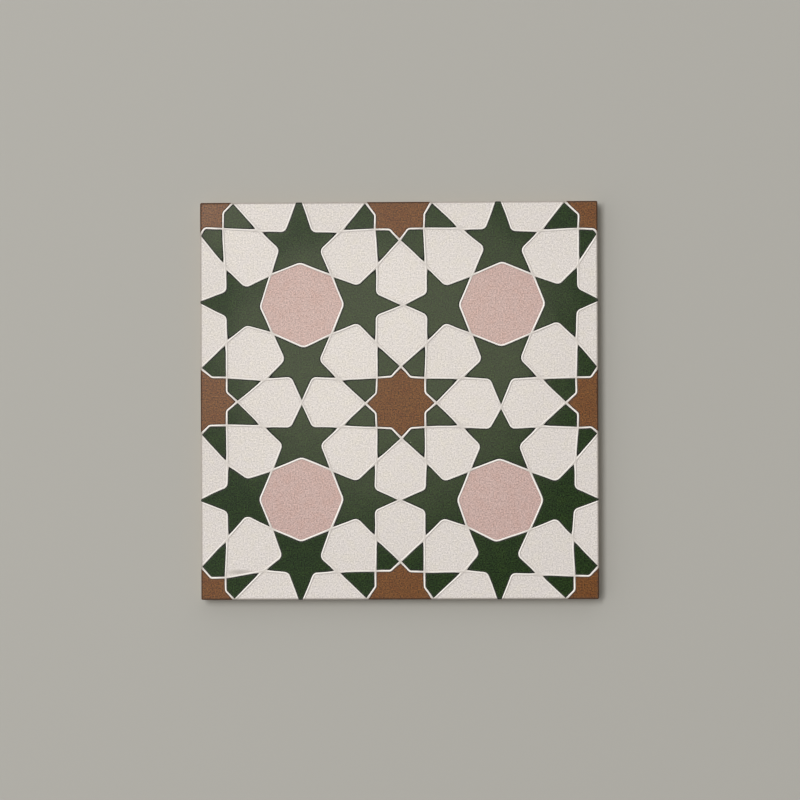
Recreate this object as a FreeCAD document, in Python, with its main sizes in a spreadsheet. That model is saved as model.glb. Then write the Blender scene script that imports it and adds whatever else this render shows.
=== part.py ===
"""Square glazed ceramic tile with a raised-line arabesque face, in millimetres.

The tile is one pressed and fired piece. It lies glazed face up, with +Z up and the origin at the
centre of its bedding plane. The face holds four repeats of one cell, two by two. In the middle of a
cell is an octagon. The lines of its sides run on to the middles of the cell's edges and make four
pointed stars. Eight-pointed stars stand on the cell's corners. Every field of colour is a shallow
recess, and the raised line between two fields is what the recesses leave standing.
"""

import FreeCAD, Part
import Sketcher
import math
import os

doc = FreeCAD.newDocument("ArabesqueTile")

# Driving dimensions
sheet = doc.addObject("Spreadsheet::Sheet", "Sizes")
DRIVING = [
    ("face_side", 200.0, "outer side of the square face"),
    ("thickness", 8.0, "from the bedding plane to the top of the raised lines"),
    ("corner_radius", 0.8, "upright corners"),
    ("edge_radius", 0.5, "rounded edge around the face"),
    ("bevel_height", 3.5, "lower part of the sides, which leans in to the back"),
    ("bevel_width", 0.5, "how far the sides lean in"),
    ("star_square", 24.8, "side of the two equal squares that make an eight-pointed star"),
    ("line_width", 1.0, "raised line"),
    ("line_height", 0.3, "raised line above the fields"),
    ("key_border", 7.0, "plain margin around the keys of the back"),
    ("key_rib", 5.0, "rib between two keys"),
    ("key_depth", 0.7, "depth of a key"),
    ("key_lean", 0.4, "how far a key's walls lean in over its depth"),
]
for row, (alias, value, meaning) in enumerate(DRIVING, start=1):
    sheet.set("A%d" % row, alias)
    sheet.set("B%d" % row, str(value))
    sheet.set("C%d" % row, meaning)
    sheet.setAlias("B%d" % row, alias)
doc.recompute()

# Cells along a side of the face, and keys along a side of the back
CELLS = 2
KEYS = 8
# The face looks the same after each quarter of a turn
QUARTERS = 4
FULL_CIRCLE = 360
RIGHT_ANGLE = 90
# Half the turn between two sides of an octagon, in degrees
HALF_TURN = 22.5
# Two heights that are nearer than this are the same, in mm
SAME_HEIGHT = 0.001

# The pattern's straight lines, each by its distance from the centre that it is drawn about.
# octagon_side, long_line, near_diagonal and far_diagonal are drawn about a cell's middle.
# crossing, star_side and gable are drawn about the middle of a cell's edge.
# star_side is also drawn about the middle of an eight-pointed star, for both of its squares.
lines = doc.addObject("App::VarSet", "PatternLines")
LINES = {
    "cell": "Sizes.face_side / %d" % CELLS,
    "octagon_side": "PatternLines.cell / 2 * sin(%s deg)" % HALF_TURN,
    "long_line": "PatternLines.cell / 2 - Sizes.star_square / 2",
    "near_diagonal": "Sizes.star_square / 2",
    "far_diagonal": "PatternLines.cell * sqrt(0.5) - Sizes.star_square / 2",
    "crossing": "0",
    "star_side": "Sizes.star_square / 2",
    "gable": "PatternLines.cell / 2 * sqrt(0.5) - Sizes.star_square / 2",
}
for name, expression in LINES.items():
    lines.addProperty("App::PropertyFloat", name, "Lines")
    lines.setExpression(name, expression)
doc.recompute()

# A field lies on the centre's side of a line, or beyond it
INSIDE = 1
BEYOND = -1

body = doc.addObject("PartDesign::Body", "Tile")
body.Label = "tile"
origin = {part.Role: part for part in body.Origin.OriginFeatures}
upright = (origin["Z_Axis"], [""])
across_x = (origin["X_Axis"], [""])
across_y = (origin["Y_Axis"], [""])


def level_sketch(name, height, centre_x="0", centre_y="0"):
    """A sketch that lies level at a height, with its own centre moved along X and Y."""
    sketch = body.newObject("Sketcher::SketchObject", name)
    sketch.AttachmentSupport = [(origin["XY_Plane"], "")]
    sketch.MapMode = "FlatFace"
    sketch.setExpression("AttachmentOffset.Base.x", centre_x)
    sketch.setExpression("AttachmentOffset.Base.y", centre_y)
    sketch.setExpression("AttachmentOffset.Base.z", height)
    return sketch


def square(sketch, low_corner, side):
    """A square with its low corner at -low_corner along X and Y, and with that side."""
    half = sheet.get("face_side") / 2
    ends = [(-half, -half), (half, -half), (half, half), (-half, half)]
    for index, end in enumerate(ends):
        following = ends[(index + 1) % len(ends)]
        segment = Part.LineSegment(FreeCAD.Vector(*end, 0), FreeCAD.Vector(*following, 0))
        sketch.addGeometry(segment, False)
    for index in range(len(ends)):
        following = (index + 1) % len(ends)
        sketch.addConstraint(Sketcher.Constraint("Coincident", index, 2, following, 1))
        level = "Horizontal" if index % 2 == 0 else "Vertical"
        sketch.addConstraint(Sketcher.Constraint(level, index))
    sized = [
        (("DistanceX", 0, 1, 0, 2, 2 * half), side),
        (("DistanceY", 1, 1, 1, 2, 2 * half), side),
        (("DistanceX", 0, 1, -1, 1, half), low_corner),
        (("DistanceY", 0, 1, -1, 1, half), low_corner),
    ]
    for constraint, expression in sized:
        number = sketch.addConstraint(Sketcher.Constraint(*constraint))
        sketch.setExpression("Constraints[%d]" % number, expression)


def meeting_point(first, second):
    """Where two straight lines cross, each given by its normal's angle and its distance from 0, 0."""
    angle_a, distance_a = first
    angle_b, distance_b = second
    turn = math.sin(angle_b - angle_a)
    x = (distance_a * math.sin(angle_b) - distance_b * math.sin(angle_a)) / turn
    y = (distance_b * math.cos(angle_a) - distance_a * math.cos(angle_b)) / turn
    return FreeCAD.Vector(x, y, 0)


def field(sketch, sides):
    """One field's outline, half a raised line inside the lines around it.

    Each side is the angle of its normal in degrees, the name of its line, and INSIDE or BEYOND. The
    sides follow each other around the field, so each one meets the next in a corner.
    """
    half_line = sheet.get("line_width") / 2
    placed = []
    for angle, name, place in sides:
        distance = getattr(lines, name) - place * half_line
        placed.append((math.radians(angle), distance))
    corners = [meeting_point(placed[index - 1], placed[index]) for index in range(len(placed))]
    following_corners = corners[1:] + corners[:1]
    first = sketch.GeometryCount
    for corner, following in zip(corners, following_corners):
        sketch.addGeometry(Part.LineSegment(corner, following), False)
    for index, (_, name, place) in enumerate(sides):
        segment = first + index
        following = first + (index + 1) % len(sides)
        sketch.addConstraint(Sketcher.Constraint("Coincident", segment, 2, following, 1))
        run = following_corners[index] - corners[index]
        direction = math.atan2(run.y, run.x)
        sketch.addConstraint(Sketcher.Constraint("Angle", segment, direction))
        distance = abs(placed[index][1])
        number = sketch.addConstraint(Sketcher.Constraint("Distance", -1, 1, segment, distance))
        sign = "-" if place == INSIDE else "+"
        expression = "PatternLines.%s %s Sizes.line_width / 2" % (name, sign)
        sketch.setExpression("Constraints[%d]" % number, expression)


def mirrored(sides):
    """The same field on the other side of the sketch's X axis."""
    return [(-angle, name, place) for angle, name, place in reversed(sides)]


def recess(name, sketch, depth):
    """A recess with the sketch's outlines."""
    cut = body.newObject("PartDesign::Pocket", name)
    cut.Profile = sketch
    cut.Type = "Length"
    cut.setExpression("Length", depth)
    return cut


def turned(name, axis, count, angle):
    """Copies around an axis, over an angle in degrees."""
    step = body.newObject("PartDesign::PolarPattern", name)
    step.Axis = axis
    step.Angle = angle
    step.Occurrences = count
    return step


def in_row(name, axis, count, length):
    """Copies along an axis, with the last one a length away from the first."""
    step = body.newObject("PartDesign::LinearPattern", name)
    step.Direction = axis
    step.setExpression("Length", length)
    step.Occurrences = count
    return step


def repeat(name, original, steps):
    """Copies of a recess. Each step repeats what the steps before it made."""
    pattern = body.newObject("PartDesign::MultiTransform", name)
    pattern.Originals = [original]
    pattern.Transformations = steps
    body.Tip = pattern
    return pattern


def edge_names(feature, wanted):
    """The names of the feature's edges whose ends' heights pass the test."""
    names = []
    for number, edge in enumerate(feature.Shape.Edges, start=1):
        heights = [vertex.Point.z for vertex in edge.Vertexes]
        if wanted(min(heights), max(heights)):
            names.append("Edge%d" % number)
    return names


# The pressed blank, with upright corners rounded by the die
blank_outline = level_sketch("BlankOutline", "0")
square(blank_outline, "Sizes.face_side / 2", "Sizes.face_side")
blank = body.newObject("PartDesign::Pad", "Blank")
blank.Profile = blank_outline
blank.setExpression("Length", "Sizes.thickness")
doc.recompute()

corners = body.newObject("PartDesign::Fillet", "RoundedCorners")
corners.Base = (blank, edge_names(blank, lambda low, high: high - low > SAME_HEIGHT))
corners.setExpression("Radius", "Sizes.corner_radius")
doc.recompute()

# The rounded edge around the face, and below it the sides' lean, which frees the tile from the die
top = sheet.get("thickness")
face_edge = body.newObject("PartDesign::Fillet", "RoundedFaceEdge")
face_edge.Base = (corners, edge_names(corners, lambda low, high: low > top - SAME_HEIGHT))
face_edge.setExpression("Radius", "Sizes.edge_radius")
doc.recompute()

lean = body.newObject("PartDesign::Chamfer", "LeaningSides")
lean.Base = (face_edge, edge_names(face_edge, lambda low, high: high < SAME_HEIGHT))
lean.ChamferType = "Two distances"
lean.FlipDirection = True
lean.setExpression("Size", "Sizes.bevel_width")
lean.setExpression("Size2", "Sizes.bevel_height")
doc.recompute()

# The keys of the back, square recesses in rows, which the bedding adhesive grips
KEY_START = "(Sizes.face_side / 2 - Sizes.bevel_width - Sizes.key_border)"
KEY_SIDE = "((2 * %s - %d * Sizes.key_rib) / %d)" % (KEY_START, KEYS - 1, KEYS)
key = body.newObject("PartDesign::SubtractiveWedge", "Key")
# A wedge tapers along its own Y, so a quarter of a turn about X stands it upright
stood_up = FreeCAD.Rotation(FreeCAD.Vector(1, 0, 0), RIGHT_ANGLE)
key.Placement = FreeCAD.Placement(FreeCAD.Vector(0, 0, 0), stood_up)
WEDGE = {
    "Xmin": "-%s" % KEY_START,
    "Xmax": "-%s + %s" % (KEY_START, KEY_SIDE),
    "X2min": "-%s + Sizes.key_lean" % KEY_START,
    "X2max": "-%s + %s - Sizes.key_lean" % (KEY_START, KEY_SIDE),
    "Zmin": "%s - %s" % (KEY_START, KEY_SIDE),
    "Zmax": KEY_START,
    "Z2min": "%s - %s + Sizes.key_lean" % (KEY_START, KEY_SIDE),
    "Z2max": "%s - Sizes.key_lean" % KEY_START,
    "Ymin": "0",
    "Ymax": "Sizes.key_depth",
}
for name, expression in WEDGE.items():
    key.setExpression(name, expression)
KEY_RUN = "%d * (%s + Sizes.key_rib)" % (KEYS - 1, KEY_SIDE)
keys = repeat("Keys", key, [
    in_row("KeysAlongX", across_x, KEYS, KEY_RUN),
    in_row("KeysAlongY", across_y, KEYS, KEY_RUN),
])

# Where the sketches of the face lie, and the middle of the cell at +X and +Y
TOP = "Sizes.thickness"
HALF_CELL = "PatternLines.cell / 2"
HALF_FACE = "Sizes.face_side / 2"

# The eight-pointed stars, each a square with an equal square turned over it. The sides of the level
# square and of the turned one follow each other in this order, in each quarter of the turn.
EIGHT_POINTED_STAR = []
for quarter_turn in range(0, FULL_CIRCLE, RIGHT_ANGLE):
    for angle in (45, 0, 90, 45):
        EIGHT_POINTED_STAR.append((quarter_turn + angle, "star_side", INSIDE))
star_outline = level_sketch("StarOutline", TOP, "-%s" % HALF_FACE, "-%s" % HALF_FACE)
field(star_outline, EIGHT_POINTED_STAR)
star = recess("EightPointedStar", star_outline, "Sizes.line_height")
stars = repeat("EightPointedStars", star, [
    in_row("StarsAlongX", across_x, CELLS + 1, "Sizes.face_side"),
    in_row("StarsAlongY", across_y, CELLS + 1, "Sizes.face_side"),
])

# The hexagons that lie across a cell's edge, a pair to each edge. The face's own edge cuts through
# the outer ones, as it does through the outer eight-pointed stars.
EDGE_HEXAGON = [
    (67.5, "crossing", BEYOND),
    (180, "star_side", INSIDE),
    (135, "gable", INSIDE),
    (45, "gable", INSIDE),
    (0, "star_side", INSIDE),
    (112.5, "crossing", BEYOND),
]
low_cell = "%s - %s" % (HALF_CELL, HALF_FACE)
pair_outline = level_sketch("EdgeHexagonOutlines", TOP, "-%s" % HALF_FACE, low_cell)
field(pair_outline, EDGE_HEXAGON)
field(pair_outline, mirrored(EDGE_HEXAGON))
pair = recess("EdgeHexagons", pair_outline, "Sizes.line_height")
pairs = repeat("EdgeHexagonPairs", pair, [
    in_row("PairsAlongX", across_x, CELLS + 1, "Sizes.face_side"),
    in_row("PairsAlongY", across_y, CELLS, "Sizes.face_side - PatternLines.cell"),
    turned("PairsTheOtherWay", upright, 2, RIGHT_ANGLE),
])

# The octagons, from the one in the cell at +X and +Y
OCTAGON_SIDES = 8
octagon_outline = level_sketch("OctagonOutline", TOP, HALF_CELL, HALF_CELL)
octagon_angles = [HALF_TURN + 2 * HALF_TURN * number for number in range(OCTAGON_SIDES)]
field(octagon_outline, [(angle, "octagon_side", INSIDE) for angle in octagon_angles])
octagon = recess("Octagon", octagon_outline, "Sizes.line_height")
octagons = repeat("Octagons", octagon, [
    turned("OctagonsAroundFace", upright, QUARTERS, FULL_CIRCLE),
])

# The quarter of that cell towards +X: its pointed star, its corner hexagon and two kites
POINTED_STAR = [
    (67.5, "octagon_side", INSIDE),
    (-45, "near_diagonal", BEYOND),
    (0, "long_line", INSIDE),
    (67.5, "octagon_side", INSIDE),
    (-67.5, "octagon_side", INSIDE),
    (0, "long_line", INSIDE),
    (45, "near_diagonal", BEYOND),
    (-67.5, "octagon_side", INSIDE),
    (-22.5, "octagon_side", BEYOND),
    (22.5, "octagon_side", BEYOND),
]
CORNER_HEXAGON = [
    (67.5, "octagon_side", BEYOND),
    (-45, "near_diagonal", INSIDE),
    (0, "long_line", INSIDE),
    (90, "long_line", INSIDE),
    (135, "near_diagonal", INSIDE),
    (22.5, "octagon_side", BEYOND),
]
KITE = [
    (-45, "near_diagonal", INSIDE),
    (0, "long_line", BEYOND),
    (90, "long_line", INSIDE),
    (45, "far_diagonal", INSIDE),
]
quarter_outline = level_sketch("QuarterOutlines", TOP, HALF_CELL, HALF_CELL)
field(quarter_outline, POINTED_STAR)
field(quarter_outline, CORNER_HEXAGON)
field(quarter_outline, KITE)
field(quarter_outline, mirrored(KITE))
quarter = recess("Quarter", quarter_outline, "Sizes.line_height")
quarters = repeat("Quarters", quarter, [
    turned("QuartersAroundCell", (quarter_outline, ["N_Axis"]), QUARTERS, FULL_CIRCLE),
    turned("QuartersAroundFace", upright, QUARTERS, FULL_CIRCLE),
])
doc.recompute()

# Every step has to stand, and every recess has to take material away
for item in doc.Objects:
    if "Invalid" in item.State or "Error" in item.State:
        raise RuntimeError("%s failed: %s" % (item.Name, item.State))
steps = [blank, corners, face_edge, lean, key, keys, star, stars]
steps += [pair, pairs, octagon, octagons, quarter, quarters]
for before, after in zip(steps, steps[1:]):
    taken = before.Shape.Volume - after.Shape.Volume
    print("%s takes %.1f cubic mm" % (after.Name, taken))
    if taken <= 0:
        raise RuntimeError("%s takes nothing away" % after.Name)
shape = body.Shape
if shape.isNull() or not shape.isValid() or len(shape.Solids) != 1:
    raise RuntimeError("the tile isn't one valid solid")

os.makedirs("parts", exist_ok=True)
shape.exportStep(os.path.join("parts", body.Label + ".step"))
box = shape.BoundBox
print("tile %.2f x %.2f x %.2f mm" % (box.XLength, box.YLength, box.ZLength))
print("%.0f cubic mm of fired body and glaze" % shape.Volume)
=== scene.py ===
# %% [markdown]
# # A glazed tile with raised lines around a star pattern
#
# The real thing is one square of pressed and fired clay. Its face is divided by thin raised lines, and
# the fields between them are filled with satin glazes in cream, pink, brown and green. The lesson
# starts from the engineering model of the tile, which fixes its size, and makes the piece
# that stands for it in the picture: the same tile with hand-laid lines, pooled glazes that roll over
# the edge, bare clay on the sides, and a back with square keys.

# %% Start from the imported tile
import math

import bmesh
import bpy
from mathutils import Euler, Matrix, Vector, noise
from mathutils.geometry import delaunay_2d_cdt


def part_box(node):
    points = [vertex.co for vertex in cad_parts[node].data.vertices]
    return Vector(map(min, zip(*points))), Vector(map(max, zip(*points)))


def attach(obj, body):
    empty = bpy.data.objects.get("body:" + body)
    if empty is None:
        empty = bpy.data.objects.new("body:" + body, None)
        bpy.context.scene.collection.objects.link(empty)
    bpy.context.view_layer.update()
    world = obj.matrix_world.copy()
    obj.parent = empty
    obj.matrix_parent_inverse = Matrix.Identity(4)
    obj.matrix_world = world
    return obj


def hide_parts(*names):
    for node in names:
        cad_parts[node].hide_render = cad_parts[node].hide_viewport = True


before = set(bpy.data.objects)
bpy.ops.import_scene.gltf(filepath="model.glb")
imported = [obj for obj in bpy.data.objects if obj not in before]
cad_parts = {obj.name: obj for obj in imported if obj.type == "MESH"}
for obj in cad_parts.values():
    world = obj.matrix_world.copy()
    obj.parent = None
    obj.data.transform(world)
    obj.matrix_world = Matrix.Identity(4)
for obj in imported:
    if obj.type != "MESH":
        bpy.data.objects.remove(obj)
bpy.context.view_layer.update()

MM = 0.001
tile_low, tile_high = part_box("tile")
SIDE = (tile_high.x - tile_low.x) / MM
THICKNESS = (tile_high.z - tile_low.z) / MM
HALF = SIDE / 2
print("the tile is %.1f mm square and %.1f mm thick" % (SIDE, THICKNESS))

# %% [markdown]
# ## The pattern's corners
#
# The face repeats one cell of 100 mm, two by two. In each cell an octagon sits in the middle, with a
# pointed star on each of its four arms. Eight-pointed stars sit on the cells' corners. Drawing the
# fields one by one would be long and would leave gaps, so the corners of a single arm are named once,
# and every field is a walk from corner to corner. Neighbours then share their corners by themselves.

# %% The corners of one arm, along it and across it, in mm from the cell's middle
CELL = SIDE / 2
HALF_CELL = CELL / 2
ARM = {
    "seat": (21.2, 0.0),
    "shoulder": (15.0, 15.0),
    "waist": (28.0, 9.9),
    "wing": (37.6, 19.9),
    "neck": (37.6, 5.7),
    "tip": (HALF_CELL, 0.0),
    "inner_point": (37.8, 37.8),
    "star_point": (HALF_CELL, 32.4),
    "notch": (45.2, 37.8),
}
# Only two lines meet in these corners, and the hand went round them in a bend of this radius, in mm
BENDS = {"seat": 4.0, "waist": 3.0, "neck": 2.5, "notch": 2.0}
# The arms that point out of the tile are wider at the neck, and their tips run past the tile's edge
OUTER_NECK_EXTRA = 0.8
ARMS = 4


def arm_direction(arm):
    """The way an arm points, as whole steps along X and Y."""
    return [(1, 0), (0, 1), (-1, 0), (0, -1)][arm % ARMS]


def corner(cell, arm, side, name):
    """A corner as (x, y, name): cell is its column and row, side is 1 left of the arm or -1."""
    along, across = ARM[name]
    step_x, step_y = arm_direction(arm)
    middle_x, middle_y = ((index + 0.5) * CELL for index in cell)
    if name == "neck" and step_x * middle_x + step_y * middle_y > 0:
        across += OUTER_NECK_EXTRA
    across *= side
    x = middle_x + along * step_x - across * step_y
    y = middle_y + along * step_y + across * step_x
    return (x, y, name)


print("one arm has %d named corners, %d of them bends" % (len(ARM), len(BENDS)))

# %% [markdown]
# ## The fields
#
# Each field is a loop of corners, counter-clockwise. Five shapes make the whole face: octagons, pointed
# stars, hexagons of two kinds, kites and eight-pointed stars. Cells just outside the tile are drawn
# too, because the tile's edge cuts through fields, and cutting them afterwards is how a printed or
# laid pattern meets an edge.

# %% Walk from corner to corner
GLAZES = ("cream", "pink", "brown", "green")
COLUMNS = range(-2, 2)


def fields_of_cell(cell):
    """The fields that belong to one cell, each as (glaze, corners)."""
    column, row = cell
    octagon = []
    made = []
    for arm in range(ARMS):
        step_x, step_y = arm_direction(arm)
        across = (column + step_x, row + step_y)
        facing = arm + 2
        octagon += [corner(cell, arm, 1, "seat"), corner(cell, arm, 1, "shoulder")]
        right = [corner(cell, arm, -1, name) for name in ("shoulder", "waist", "wing", "neck")]
        left = [corner(cell, arm, 1, name) for name in ("neck", "wing", "waist", "shoulder")]
        tip = corner(cell, arm, 1, "tip")
        made.append(("green", [corner(cell, arm, 1, "seat")] + right + [tip] + left))
        made.append(("cream", [
            corner(cell, arm, 1, "shoulder"),
            corner(cell, arm, 1, "waist"),
            corner(cell, arm, 1, "wing"),
            corner(cell, arm, 1, "inner_point"),
            corner(cell, arm + 1, -1, "wing"),
            corner(cell, arm + 1, -1, "waist"),
        ]))
        kite = ("wing", "star_point", "notch", "inner_point")
        made.append(("green", [corner(cell, arm, 1, name) for name in kite]))
        made.append(("green", [corner(cell, arm, -1, name) for name in reversed(kite)]))
        if arm < ARMS // 2:
            for side in (1, -1):
                gable = [
                    tip,
                    corner(across, facing, -side, "neck"),
                    corner(across, facing, -side, "wing"),
                    corner(cell, arm, side, "star_point"),
                    corner(cell, arm, side, "wing"),
                    corner(cell, arm, side, "neck"),
                ]
                made.append(("cream", gable if side > 0 else gable[::-1]))
    made.append(("pink", octagon))
    return made


def star_on_corner(column, row):
    """The eight-pointed star around the lattice point at the low corner of a cell."""
    centre_x, centre_y = column * CELL, row * CELL
    points = {}
    cells_around = [(column, row), (column - 1, row), (column - 1, row - 1), (column, row - 1)]
    for quarter, cell in enumerate(cells_around):
        arm = quarter + 2
        for turn, side in ((arm, 1), (arm + 1, -1)):
            for name in ("star_point", "notch", "inner_point"):
                x, y, _ = corner(cell, turn, side, name)
                points[(round(x, 3), round(y, 3))] = (x, y, name)
    around = sorted(points.values(), key=lambda p: math.atan2(p[1] - centre_y, p[0] - centre_x))
    return ("brown", around)


all_fields = []
for column in COLUMNS:
    for row in COLUMNS:
        all_fields += fields_of_cell((column, row))
        all_fields.append(star_on_corner(column, row))
print("%d fields in %d cells" % (len(all_fields), len(COLUMNS) ** 2))

# %% [markdown]
# ## The hand that laid the lines
#
# On the real tile no line is where a ruler would put it. The whole pattern sits a little to the right
# and down, is a little lower than wide, and flares out towards the corners; the outermost row of
# corners ends on the tile's edge. In some places the hand slipped by a millimetre or two, and the lines
# wander by a few tenths everywhere. The slow part is written as a formula, the slips as a list of
# places, and the wander is smooth noise. All three give the same answer at the same place, so that two
# neighbouring fields never part.

# %% From the ruled pattern to the drawn one
SHIFT = (0.96, -0.76)
STRETCH = (1.001, 0.981)
LEAN = (0.80, -0.63)
KEYSTONE = 1.13
FLARE = (0.86, 1.08)
# Places where the hand slipped, as x, y, the shift along x and y, and how far around that tells, in mm
TOP_SLIPS = [
    (-95, 88, -2.4, 0.4, 4), (-88, 96, -0.3, 1.1, 5), (-60, 88, -1.6, 0.0, 10), (-12, 91, -1.1, 0.8, 6),
    (4, 88, -1.6, 0.6, 8), (12, 92, -0.8, 0.8, 6), (30, 88, -0.6, 0.7, 5), (44, 88, -2.7, 1.0, 8),
    (40, 78, 1.9, 0.4, 5), (57, 88, -1.1, 0.0, 5), (70, 88, -1.6, 0.0, 5), (88, 91, -1.1, 0.1, 5),
]
MIDDLE_SLIPS = [
    (0, 50, 1.0, -0.3, 6), (-50, 28, 1.4, -1.0, 8), (-60, 22, 0.9, -0.4, 5), (-40, 22, -0.9, -0.4, 5),
    (-70, 12, 1.4, -0.9, 5), (-30, 12, -1.3, -0.6, 5), (50, 0, 0.0, -2.0, 8), (36, -64, -1.4, 1.4, 8),
    (0, 16, -0.2, 0.9, 10), (0, -16, 0.3, -1.0, 10), (18, 2, 0.5, -0.2, 6), (-16, -2, -0.7, -0.6, 8),
]
LEFT_SLIPS = [
    (-88, 70, 0.0, -1.3, 5), (-78, 60, 0.3, -1.1, 5), (-72, 50, 0.5, -1.8, 8), (-78, 40, 0.3, -1.1, 5),
    (-95, -12, -1.3, 0.0, 4), (-88, -30, 0.0, -1.8, 5), (-78, -40, 0.5, 1.0, 5), (-78, -60, 0.2, 1.5, 5),
]
RIGHT_SLIPS = [
    (88, 52, 0.3, 2.4, 8), (88, 42, 0.0, 1.8, 5), (88, 31, 0.2, 1.1, 6), (91, 13, -0.2, 1.0, 5),
    (88, -9, 1.4, -0.8, 5), (88, -57, 0.0, 1.7, 5), (88, -70, -0.9, 1.2, 5),
]
LOW_SLIPS = [
    (-92, -89, -0.2, -2.0, 6), (-70, -88, 0.9, 1.3, 5), (-60, -78, 0.0, -1.2, 5), (-40, -78, 0.0, -1.2, 5),
    (-30, -88, -1.5, 0.7, 5), (-8, -87, -0.2, 1.3, 6), (8, -87, -0.1, 1.3, 6), (30, -88, 1.8, 0.9, 5),
    (50, -72, -1.6, 0.0, 8),
]
SLIPS = TOP_SLIPS + MIDDLE_SLIPS + LEFT_SLIPS + RIGHT_SLIPS + LOW_SLIPS
# How far the outer star tips run past the tile's edge: right, top, left and bottom
TIP_RUN_OUT = {(1, 0): 2.2, (0, 1): 5.0, (-1, 0): 2.2, (0, -1): 3.7}
# The other corners on the edge stand a little further from the tips than ruled
EDGE_SPREAD = 0.8


def at_edge(across, along, run_out):
    """Where a corner on the tile's edge or past it lies, across the edge and along it."""
    from_tip = abs(along) - HALF_CELL
    if abs(across) > HALF + 1:
        return across, along
    if abs(from_tip) < 1:
        return math.copysign(HALF + run_out, across), along
    return across, math.copysign(abs(along) + math.copysign(EDGE_SPREAD, from_tip), along)


def drawn(x, y):
    """Where a corner of the ruled pattern lies on the real tile, in mm."""
    if abs(x) > HALF - 1:
        return at_edge(x, y, TIP_RUN_OUT[(math.copysign(1, x), 0)])
    if abs(y) > HALF - 1:
        new_y, new_x = at_edge(y, x, TIP_RUN_OUT[(0, math.copysign(1, y))])
        return new_x, new_y
    u, v = x / HALF, y / HALF
    new_x = SHIFT[0] + STRETCH[0] * x + LEAN[0] * v + KEYSTONE * u * v + FLARE[0] * u * v * v
    new_y = SHIFT[1] + STRETCH[1] * y + LEAN[1] * u + FLARE[1] * v * u * u
    for slip_x, slip_y, move_x, move_y, reach in SLIPS:
        near = math.exp(-((x - slip_x) ** 2 + (y - slip_y) ** 2) / (2 * reach ** 2))
        new_x += move_x * near
        new_y += move_y * near
    return new_x, new_y


WANDER = [(30.0, 0.6, 3.7), (8.0, 0.10, 11.2)]
CALM_EDGE = 8.0


def wander(x, y):
    """The small wander of a laid line at a place, in mm: slow swings and a faint tremble."""
    calm = min(1.0, max(0.15, (HALF - max(abs(x), abs(y))) / CALM_EDGE))
    shift_x = shift_y = 0.0
    for size, amount, seed in WANDER:
        swing = noise.noise_vector(Vector((x / size, y / size, seed)))
        shift_x += amount * swing.x
        shift_y += amount * swing.y
    return x + calm * shift_x, y + calm * shift_y


moves = [math.dist(wander(x, y), (x, y)) for x in range(-90, 91, 9) for y in range(-90, 91, 9)]
print("the lines wander by %.2f mm on average, %.2f at most" % (sum(moves) / len(moves), max(moves)))

# %% [markdown]
# ## The profile of a raised line
#
# A line about 1 mm wide and 0.3 mm high was laid before the glazes, and the glazes were let in up to
# its foot, where they thin out in a narrow groove. A displacement map would need millions of faces to
# show that. Rings of faces that follow each field's outline do it with few: every field owns its half
# of the lines around it, and each ring has a distance from the line's middle and a height above the
# field's floor. Two level rings end the groove, so that it doesn't tilt the pool's reflections.

# %% Rings from the middle of a line into the field
LINE_HALF = 0.45
LINE_HEIGHT = 0.3
PROFILE = [
    (0.00, LINE_HEIGHT),
    (0.17, 0.285),
    (0.32, 0.21),
    (0.41, 0.09),
    (0.46, 0.005),
    (0.60, -0.020),
    (0.85, 0.0),
    (1.25, 0.0),
]
LINE_RINGS = 4
POOL_RINGS = 2
# Where points of fields meet, the line is starved: lower and greyer for this far around, in mm
CROSSING_REACH = 4.0
CROSSING_LOSS = 0.6
# and the glaze stops short of its points there, by this share of the line's width
CROSSING_SPREAD = {("green", "wing"): 0.50, ("cream", "wing"): 0.35, ("brown", "star_point"): 0.45,
                   ("cream", "star_point"): 0.40, ("green", "shoulder"): 0.15, ("pink", "shoulder"): 0.15}
BEND_STEP = math.radians(14)
SPACING = 1.3


def turned_left(direction):
    """The direction turned by a quarter to the left, which points into the field."""
    return Vector((-direction.y, direction.x))


def ring(corners, inset):
    """The field's outline moved in by inset, as one run of points for each bend or corner."""
    count = len(corners)
    points = [Vector(c[:2]) for c in corners]
    ways = [(points[(i + 1) % count] - points[i]).normalized() for i in range(count)]
    turns = []
    for i in range(count):
        come, go = ways[i - 1], ways[i]
        come_in, go_in = turned_left(come), turned_left(go)
        radius = BENDS.get(corners[i][2])
        if radius is None:
            turns.append([points[i] + (come_in + go_in) * inset / (1 + come_in.dot(go_in))])
            continue
        angle = math.atan2(come.cross(go), come.dot(go))
        side = math.copysign(1, angle)
        centre = points[i] - come * radius * math.tan(abs(angle) / 2) + come_in * side * radius
        steps = max(2, int(abs(angle) / BEND_STEP + 0.5))
        start = math.atan2(come_in.y, come_in.x)
        arc = []
        for step in range(steps + 1):
            facing = start + angle * step / steps
            outward = Vector((math.cos(facing), math.sin(facing))) * side
            arc.append(centre - outward * (radius - side * inset))
        turns.append(arc)
    return turns


def outline(corners, inset, sides):
    """All points of a ring. sides gives how many steps each side has, the same in every ring."""
    turns = ring(corners, inset)
    placed = []
    for i, turn in enumerate(turns):
        placed += turn
        begin, end = turn[-1], turns[(i + 1) % len(turns)][0]
        placed += [begin.lerp(end, step / sides[i]) for step in range(1, sides[i])]
    return placed


def side_steps(corners):
    """How many steps each side takes, from its length along the line's middle."""
    turns = ring(corners, 0.0)
    lengths = [(turns[(i + 1) % len(turns)][0] - turn[-1]).length for i, turn in enumerate(turns)]
    return [max(1, int(length / SPACING + 0.5)) for length in lengths]


print("a line is %.1f mm wide in %d rings a side" % (2 * LINE_HALF, LINE_RINGS))

# %% [markdown]
# ## The sheet of glaze
#
# The rings of all fields make one sheet, still flat. The pool inside the last ring is filled with
# triangles through a light grid of points, so that its surface can swell by some hundredths of a
# millimetre. That is what breaks up reflections on a real glaze. Each vertex keeps its distance from
# the line and its height, which the finishes and the folding read later.

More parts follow.
